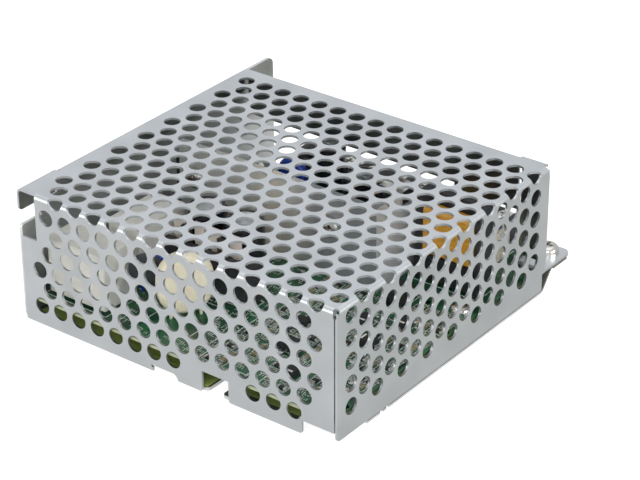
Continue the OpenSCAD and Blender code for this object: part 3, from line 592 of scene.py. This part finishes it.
def add_pillow(bm, a, b, c, r, n, y0):
    """Rounded body in X and Z, half sizes a, b, half thickness c along Y, edge radius r, outline exponent n."""
    seg = 64
    prof = [(r * (1 - math.cos(math.radians(q))), r * math.sin(math.radians(q))) for q in range(0, 91, 15)]
    rings = []
    for sign in (-1, 1):
        side = []
        for inset, h in prof:
            side.append([(inset, sign * (c - 0.25 - r + h))])
        rings.append(side)
    levels = [(q[0][0], q[0][1], 1.0) for q in rings[0][::-1]] + [(q[0][0], q[0][1], 1.0) for q in rings[1]]
    levels = [(r, -c + 0.08, 0.72), (r, -c, 0.38)][::-1] + levels + [(r, c - 0.08, 0.72), (r, c, 0.38)]
    loops = []
    for inset, y, k in levels:
        loop = []
        for m in range(seg):
            t = 2 * math.pi * m / seg
            cs, sn = math.cos(t), math.sin(t)
            x = (a - inset) * k * math.copysign(abs(cs) ** (2 / n), cs)
            z = (b - inset) * k * math.copysign(abs(sn) ** (2 / n), sn)
            loop.append(bm.verts.new((x, y0 + y, z)))
        loops.append(loop)
    for p, q in zip(loops, loops[1:]):
        for m in range(seg):
            bm.faces.new((p[m], p[(m + 1) % seg], q[(m + 1) % seg], q[m]))
    for loop, y in ((loops[0], -c - 0.02), (loops[-1], c + 0.02)):
        mid = bm.verts.new((0, y0 + y, 0))
        for m in range(seg):
            bm.faces.new((mid, loop[m], loop[(m + 1) % seg]))


def add_leads(bm, xs, y, top, foot):
    for x in xs:
        add_lathe(bm, (x, y, 0), [(0, top - 3.4), (0.36, top - 3.4), (0.42, top - 2.6), (0.62, top - 1.4), (1.0, top)], 14)
        add_tube(bm, [(x, y, top - 2), (x, y, (top + foot) / 2), (x, y, foot)], 0.34, 10, 1)


def dipped(name, node, mat, bodies):
    """bodies: place, turn, half width, half height, half thickness, edge radius, exponent, offset along Y, lead spacing."""
    bm = bmesh.new()
    for at, turn, a, b, c, r, n, y0, gap in bodies:
        part = bmesh.new()
        add_pillow(part, a, b, c, r, n, y0)
        add_leads(part, (-gap, gap), y0, -b * 0.78, BZ - at[2])
        add_local(bm, part, at, turn)
    ob = make(name, bm, [mat, "tinned_wire"], smooth=60)
    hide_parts(node)


BZ = mmbox("circuit_board")[1][2]
dipped("cream_film_body", "cream_film_capacitor", "cream_box", [((-7.3, -35.3, 17), 55, 7.2, 8.2, 2.5, 1.9, 2.3, 1.5, 3.75)])
dipped("blue_disc_bodies", "blue_disc_capacitors", "blue_epoxy",
       [((-20.6, -32.4, 15.6), 40, 4.9, 3.9, 1.3, 0.95, 2.0, 0, 2.5), ((-21.9, 25, 17.6), 0, 4.4, 4.4, 1.7, 1.2, 2.0, 0, 2.5)])
dipped("thermistor_body", "inrush_thermistor", "dark_epoxy", [((-19.9, -35.5, 17), 40, 4.3, 4.3, 1.3, 0.95, 2.0, 0, 2.5)])


def soften(node, width, segs=3):
    """Rounds the sharp edges of a moulded CAD part."""
    mod = nodes[node].modifiers.new("soften", "BEVEL")
    mod.width = width * MM
    mod.segments = segs
    mod.limit_method = "ANGLE"
    mod.angle_limit = math.radians(50)


soften("line_filter_capacitors", 0.35)
soften("bridge_rectifier", 0.15, 2)
soften("power_transistor", 0.12, 2)
soften("output_rectifier", 0.12, 2)


# chip parts with tinned ends
def chips(name, node, body_mat):
    bm = bmesh.new()
    for lo, hi in islands(node):
        long = 0 if hi[0] - lo[0] > hi[1] - lo[1] else 1
        e = 0.32
        a, b = list(lo), list(hi)
        a[long] += e * 0.8
        b[long] -= e * 0.8
        a[2] += 0.02
        b[2] -= 0.03
        add_box(bm, a, b, 0, 0.04)
        for s in (0, 1):
            p, q = list(lo), list(hi)
            if s == 0:
                q[long] = lo[long] + e
            else:
                p[long] = hi[long] - e
            add_box(bm, p, q, 1, 0.05)
            # solder fillet at the end
            f, h = list(p), list(q)
            f[long] += -0.35 if s == 0 else e - 0.02
            h[long] += -e + 0.02 if s == 0 else 0.35
            h[2] = lo[2] + 0.22
            add_box(bm, f, h, 2, 0.08)
    ob = make(name, bm, [body_mat, "tinned_wire", "solder"], smooth=40)
    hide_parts(node)


chips("chip_resistor_bodies", "chip_resistors", "chip_ceramic_dark")
chips("chip_capacitor_bodies", "chip_capacitors", "chip_ceramic_tan")


# tongue of the insulation film over the recess of the base, its front edge turned up
def film_tongue():
    bm = bmesh.new()
    lo, hi = mmbox("insulation_sheet")
    front = lo[1] + 0.05
    path = [(front, lo[2] + 1.3), (front + 0.1, lo[2] + 0.7), (front + 0.4, lo[2] + 0.2), (front + 0.9, lo[2])]
    path += [(front + 0.9 + 0.45 * k, lo[2] + 0.02 * math.sin(k)) for k in range(1, 7)]
    cols = [-10.1 + 12.3 * k / 16 for k in range(17)]
    grid = [[bm.verts.new((x, y, z + 0.03 * math.sin(1.3 * i))) for i, x in enumerate(cols)] for y, z in path]
    for p, q in zip(grid, grid[1:]):
        for i in range(16):
            bm.faces.new((p[i], p[i + 1], q[i + 1], q[i]))
    ob = make("film_tongue", bm, ["insulation_film"], smooth=40)
    mod = ob.modifiers.new("thickness", "SOLIDIFY")
    mod.thickness = 0.25 * MM


film_tongue()


# moulded diodes: a tapered body with a pale band and a tinned tab round each end
def diodes(name, node):
    bm = bmesh.new()
    for lo, hi in islands(node):
        long = 0 if hi[0] - lo[0] > hi[1] - lo[1] else 1
        wide = 1 - long
        c = [(a + b) / 2 for a, b in zip(lo, hi)]
        half = [(b - a) / 2 for a, b in zip(lo, hi)]
        part = bmesh.new()
        hl, hw, zt = half[long] - 0.3, half[wide], hi[2] - lo[2]
        rows = [(0.25, 0.12), (1.1, 0.0), (zt - 0.1, 0.14), (zt, 0.24)]
        loops = []
        for z, inset in rows:
            loops.append([part.verts.new((sx * (hl - inset), sy * (hw - inset), z)) for sx, sy in ((-1, -1), (1, -1), (1, 1), (-1, 1))])
        for p, q in zip(loops, loops[1:]):
            for k in range(4):
                part.faces.new((p[k], p[(k + 1) % 4], q[(k + 1) % 4], q[k]))
        part.faces.new(loops[-1])
        part.faces.new(loops[0][::-1])
        add_box(part, (-hl + 0.45, -hw + 0.26, zt - 0.01), (-hl + 1.0, hw - 0.26, zt + 0.015), 2)
        for q in (-1, 1):
            add_box(part, (q * (half[long] - 0.55) - 0.5, -0.75, 0), (q * (half[long] - 0.55) + 0.5, 0.75, 0.16), 1, 0.05)
            add_box(part, (q * (half[long] - 0.18) - 0.1, -0.75, 0), (q * (half[long] - 0.18) + 0.1, 0.75, 1.15), 1, 0.05)
            add_box(part, (q * (half[long] + 0.1) - 0.35, -0.9, 0), (q * (half[long] + 0.1) + 0.35, 0.9, 0.24), 3, 0.1)
        add_local(bm, part, (c[0], c[1], lo[2]), 0 if long == 0 else 90)
    ob = make(name, bm, ["black_moulding", "tinned_wire", "white_ink", "solder"], smooth=35)
    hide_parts(node)


diodes("chip_diode_bodies", "chip_diodes")

# ------------------------------------------------- print and copper on the board
blo, bhi = mmbox("circuit_board")
rnd = random.Random(11)


def strip(bm, a, b, w, z0, z1, mi=0):
    """A flat bar from a to b on the board."""
    a, b = Vector((a[0], a[1], 0)), Vector((b[0], b[1], 0))
    d = (b - a)
    if d.length < 1e-6:
        return
    t = d.normalized()
    n = Vector((-t.y, t.x, 0)) * (w / 2)
    a, b = a - t * (w / 2), b + t * (w / 2)
    q = [a + n, a - n, b - n, b + n]
    lowv = [bm.verts.new((p.x, p.y, z0)) for p in q]
    top = [bm.verts.new((p.x, p.y, z1)) for p in q]
    bm.faces.new(top).material_index = mi
    for k in range(4):
        bm.faces.new((lowv[k], lowv[(k + 1) % 4], top[(k + 1) % 4], top[k])).material_index = mi
    bm.faces.new(lowv[::-1]).material_index = mi


def rect_outline(bm, x0, y0, x1, y1, w=0.2, gaps=0.0):
    z0, z1 = BZ, BZ + 0.03
    strip(bm, (x0, y0), (x1, y0), w, z0, z1)
    strip(bm, (x1, y0), (x1, y1), w, z0, z1)
    strip(bm, (x1, y1), (x0, y1), w, z0, z1)
    strip(bm, (x0, y1), (x0, y0), w, z0, z1)


def ring_outline(bm, x, y, r, w=0.2, n=48):
    for k in range(n):
        a, b = 2 * math.pi * k / n, 2 * math.pi * (k + 1) / n
        strip(bm, (x + r * math.cos(a), y + r * math.sin(a)), (x + r * math.cos(b), y + r * math.sin(b)), w, BZ, BZ + 0.03)


ink = bmesh.new()
for node in ("line_filter_capacitors", "cream_film_capacitor", "bridge_rectifier", "optocoupler", "transformer_bobbin", "terminal_block", "choke_base"):
    for lo, hi in (islands(node) if node == "line_filter_capacitors" else [mmbox(node)]):
        rect_outline(ink, lo[0] - 0.7, lo[1] - 0.7, hi[0] + 0.7, min(hi[1] + 0.7, bhi[1] - 0.3))
for node in ("bulk_capacitors", "output_capacitors"):
    for lo, hi in islands(node):
        ring_outline(ink, (lo[0] + hi[0]) / 2, (lo[1] + hi[1]) / 2, (hi[0] - lo[0]) / 2 + 0.5)
chip_boxes = islands("chip_resistors") + islands("chip_capacitors") + islands("control_chip") + islands("chip_diodes")
for lo, hi in chip_boxes:
    rect_outline(ink, lo[0] - 0.55, lo[1] - 0.5, hi[0] + 0.55, hi[1] + 0.5, 0.16)
    # short marks beside the part
    for k in range(rnd.randint(4, 8)):
        x = lo[0] + 0.7 * (k % 4)
        y = lo[1] - 1.2 if k < 4 else hi[1] + 1.1
        if y > blo[1] + 0.6:
            if rnd.random() < 0.5:
                strip(ink, (x, y - 0.35), (x, y + 0.35), 0.16, BZ, BZ + 0.03)
            else:
                strip(ink, (x - 0.22, y + rnd.choice((-0.3, 0, 0.3))), (x + 0.22, y + rnd.choice((-0.3, 0, 0.3))), 0.16, BZ, BZ + 0.03)
# long rules that part the areas of the board
for a, b in (((20, -47), (20, -40)), ((6.5, -26), (20, -26)), ((26, -24.5), (46, -24.5)), ((20, -9), (46, -9)), ((6.5, -8), (18, 2)),
             ((24, -47), (24, -44)), ((31, -47), (31, -30)), ((37.4, -44), (46, -44)), ((6, -47), (6, -18))):
    strip(ink, a, b, 0.24, BZ, BZ + 0.03)
# rows of short bars all over the front of the board, between the parts that stand on it
standing = list(chip_boxes)
for node in ("line_filter_capacitors", "cream_film_capacitor", "blue_disc_capacitors", "inrush_thermistor", "bulk_capacitors", "choke_base",
             "finger_strip", "bridge_rectifier", "heat_sink", "optocoupler", "chip_pins"):
    standing += islands(node)
for k in range(1100):
    x, y = rnd.uniform(-24, bhi[0] - 4), rnd.uniform(blo[1] + 0.8, 0.5)
    along = rnd.random() < 0.6
    n = rnd.randint(2, 4)
    ext = (0.62 * n, 0.8) if along else (0.8, 0.62 * n)
    if any(lo[0] - 0.3 < x + ext[0] and x - 0.3 < hi[0] and lo[1] - 0.3 < y + ext[1] and y - 0.3 < hi[1] for lo, hi in standing):
        continue
    for j in range(n):
        u, v = (x + 0.62 * j + 0.2, y + 0.4) if along else (x + 0.4, y + 0.62 * j + 0.2)
        if rnd.random() < 0.55:
            strip(ink, (u, v - 0.28), (u, v + 0.28), 0.14, BZ, BZ + 0.03)
        else:
            w = rnd.choice((-0.24, 0.0, 0.24))
            strip(ink, (u - 0.18, v + w), (u + 0.18, v + w), 0.14, BZ, BZ + 0.03)
# rings
for x, y, r in ((8, -31, 1.6), (12.6, -40.5, 1.2), (42.9, -30.5, 1.5), (31, -27.4, 1.3), (13.5, -14.6, 1.4), (41.5, -13.2, 1.3)):
    ring_outline(ink, x, y, r, 0.22)
strip(ink, (16, -46.5), (22, -46.5), 0.2, BZ, BZ + 0.03)
make("board_print", ink, ["white_ink"])

copper = bmesh.new()
for k in range(90):
    x, y = rnd.uniform(blo[0] + 1.5, bhi[0] - 1.5), rnd.uniform(blo[1] + 1.5, bhi[1] - 16)
    w = rnd.choice((0.35, 0.35, 0.5, 0.8, 1.4))
    d = rnd.choice(((1, 0), (0, 1), (0.7071, 0.7071), (0.7071, -0.7071)))
    for s in range(rnd.randint(2, 4)):
        length = rnd.uniform(2, 8)
        x2, y2 = x + d[0] * length, y + d[1] * length
        x2 = min(max(x2, blo[0] + 1), bhi[0] - 1)
        y2 = min(max(y2, blo[1] + 1), bhi[1] - 1)
        if x2 > 38.5 and y2 > 33:
            break
        strip(copper, (x, y), (x2, y2), w, BZ, BZ + 0.018)
        x, y = x2, y2
        a = math.atan2(d[1], d[0]) + rnd.choice((-1, 1)) * math.pi / 4
        d = (math.cos(a), math.sin(a))
make("board_copper", copper, ["trace_mask"])

pads = bmesh.new()
for k in range(110):
    x, y = rnd.uniform(6, bhi[0] - 1.5), rnd.uniform(blo[1] + 1.5, 4)
    if any(lo[0] - 0.9 < x < hi[0] + 0.9 and lo[1] - 0.9 < y < hi[1] + 0.9 for lo, hi in chip_boxes):
        continue
    r = rnd.choice((0.35, 0.5, 0.8))
    add_lathe(pads, (x, y, BZ), [(0, 0.0), (r, 0.0), (r, 0.04), (r * 0.6, 0.16), (0, 0.22)], 14)
make("board_solder_points", pads, ["solder"], smooth=50)

# ------------------------------------------------------------------ floor, light
bm = bmesh.new()
bmesh.ops.create_grid(bm, x_segments=1, y_segments=1, size=3.0)
me = bpy.data.meshes.new("floor")
bm.to_mesh(me)
bm.free()
floor = bpy.data.objects.new("floor", me)
floor.location = (0, 0, -0.0003)
scene.collection.objects.link(floor)
m, nt, b = new_mat("floor_white")
nt.links.new(ramp(nt, noise(nt, 3.0), [(0.3, (0.30, 0.30, 0.30)), (0.7, (0.31, 0.31, 0.31))]), b.inputs["Base Color"])
b.inputs["Roughness"].default_value = 0.9
b.inputs["Specular IOR Level"].default_value = 0.1
b.inputs["Emission Color"].default_value = (1, 1, 1, 1)
b.inputs["Emission Strength"].default_value = 0.88
me.materials.append(m)
floor.visible_glossy = False


def area(name, at, to, size, power, colour=(1, 1, 1)):
    d = bpy.data.lights.new(name, "AREA")
    d.shape = "RECTANGLE"
    d.size, d.size_y = size
    d.energy = power
    d.color = colour
    o = bpy.data.objects.new(name, d)
    o.location = at
    o.rotation_mode = "QUATERNION"
    o.rotation_quaternion = (Vector(to) - Vector(at)).to_track_quat("-Z", "Y")
    scene.collection.objects.link(o)
    return o


area("softbox_top", (-0.1, 0.15, 0.9), (0, 0, 0), (1.0, 1.0), 1.9)
# the front is lit twice: a small box for the sheen of the metal, and a wide one that fills the holes evenly
area("softbox_front", (-0.6, -0.8, 0.16), (0, 0, 0.02), (0.8, 0.3), 2.9).visible_diffuse = False
area("fill_front", (0.25, -0.8, 0.45), (0, 0, 0.02), (2.2, 1.3), 17.0).visible_glossy = False
area("softbox_camera", (0.55, -0.62, 0.66), (0, 0, 0.02), (0.5, 0.4), 1.5)
area("softbox_right", (0.9, 0.1, 0.35), (0, 0, 0.02), (0.6, 0.4), 4.5)

# light tent: even all round, cooler overhead, a shade dimmer low down behind the right side
world = bpy.data.worlds.new("studio")
scene.world = world
world.use_nodes = True
wn = world.node_tree
bg = wn.nodes["Background"]
wc = wn.nodes.new("ShaderNodeTexCoord")
dot = wn.nodes.new("ShaderNodeVectorMath")
dot.operation = "DOT_PRODUCT"
dot.inputs[1].default_value = (0.61, 0.79, 0.0)
wn.links.new(wc.outputs["Generated"], dot.inputs[0])
xyz = wn.nodes.new("ShaderNodeSeparateXYZ")
wn.links.new(wc.outputs["Generated"], xyz.inputs["Vector"])
both = wn.nodes.new("ShaderNodeMath")
both.operation = "MULTIPLY"
wn.links.new(span(wn, dot.outputs["Value"], 0.0, 1.0, -0.1, 0.8), both.inputs[0])
wn.links.new(span(wn, xyz.outputs["Z"], 1.0, 0.0, -0.2, 0.3), both.inputs[1])


def world_mix(fac, a, b):
    n = wn.nodes.new("ShaderNodeMix")
    n.data_type = "RGBA"
    wn.links.new(fac, n.inputs[0])
    for socket, c in ((6, a), (7, b)):
        if hasattr(c, "links"):
            wn.links.new(c, n.inputs[socket])
        else:
            n.inputs[socket].default_value = (*c, 1)
    return n.outputs[2]


low = world_mix(both.outputs["Value"], (0.614, 0.621, 0.614), (0.529, 0.539, 0.521))
sky = world_mix(span(wn, xyz.outputs["Z"], 0.0, 1.0, 0.0, 0.5), low, (0.60, 0.62, 0.645))
wn.links.new(sky, bg.inputs["Color"])
bg.inputs["Strength"].default_value = 1.0

# --------------------------------------------------------------------- camera
cam = bpy.data.cameras.new("camera")
cam.sensor_fit = "HORIZONTAL"
cam.sensor_width = 36.0
cam.lens = 131.43
cam.clip_start, cam.clip_end = 0.01, 20
co = bpy.data.objects.new("camera", cam)
right = Vector((0.7957627, 0.6055985, -0.0034915))
up = Vector((-0.2913484, 0.3878765, 0.8744529))
back = Vector((0.5309217, -0.6948398, 0.4850978))
co.matrix_world = Matrix(((right.x, up.x, back.x, 0.311745), (right.y, up.y, back.y, -0.400163),
                          (right.z, up.z, back.z, 0.297299), (0, 0, 0, 1)))
scene.collection.objects.link(co)
scene.camera = co
scene.view_settings.view_transform = "Standard"
